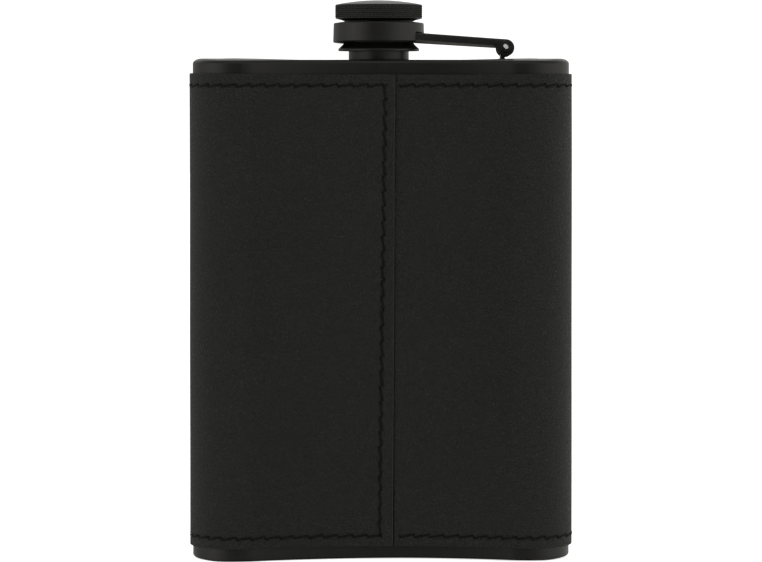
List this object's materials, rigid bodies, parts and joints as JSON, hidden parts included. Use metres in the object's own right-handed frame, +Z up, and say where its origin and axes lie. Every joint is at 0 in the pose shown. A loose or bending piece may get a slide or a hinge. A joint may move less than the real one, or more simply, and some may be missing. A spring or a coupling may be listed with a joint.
{
  "type": "hip flask",
  "caption": "Curved steel hip flask in a stitched leather wrap, with a knurled screw cap captive in a collar on a hinged arm.",
  "frame": {"origin": "on the surface that the flask stands on, under the middle of its bounding box", "axes": "+Z up along the flask, +X towards the cap's hinge, -Y the hollow side that lies against the body"},
  "size_m": [0.095, 0.0304, 0.1386],
  "materials": {
    "black_steel": "satin black baked enamel on stainless steel",
    "bare_steel": "bare peened ends",
    "black_leather": "black pebbled cowhide",
    "sewing_thread": "black twisted waxed thread",
    "silicone": "matt food-grade silicone"
  },
  "bodies": {
    "flask": {"body_sleeve": "black_steel", "shoulder_plate": "black_steel", "base_plate": "black_steel", "neck_tube": "black_steel", "hinge_bracket": "black_steel", "leather_wrap": "black_leather", "stitch_row_top": "sewing_thread", "stitch_row_bottom": "sewing_thread", "stitch_seam": "sewing_thread"},
    "arm": {"hinge_arm": "black_steel", "captive_collar": "black_steel", "hinge_pin": "bare_steel"},
    "seal": {"cap_gasket": "silicone"},
    "cap": {"cap_head": "black_steel", "cap_sleeve": "black_steel"}
  },
  "joints": [
    {"name": "arm_swing", "type": "hinge", "parent": "flask", "child": "arm", "pos_m": [0.03115, 0.0029, 0.1267], "axis": [0, 1, 0], "range_deg": [0, 177]},
    {"name": "cap_lift", "type": "slide", "parent": "arm", "child": "seal", "axis": [0, 0, 1], "range_m": [0, 0.00375]},
    {"name": "cap_turn", "type": "hinge", "parent": "seal", "child": "cap", "pos_m": [-0.00045, 0.0029, 0.13], "axis": [0, 0, 1], "range_deg": [0, 900]}
  ],
  "couplings": [
    {"joint": "cap_lift", "follows": "cap_turn", "m_per_rad": 0.00023873}
  ]
}
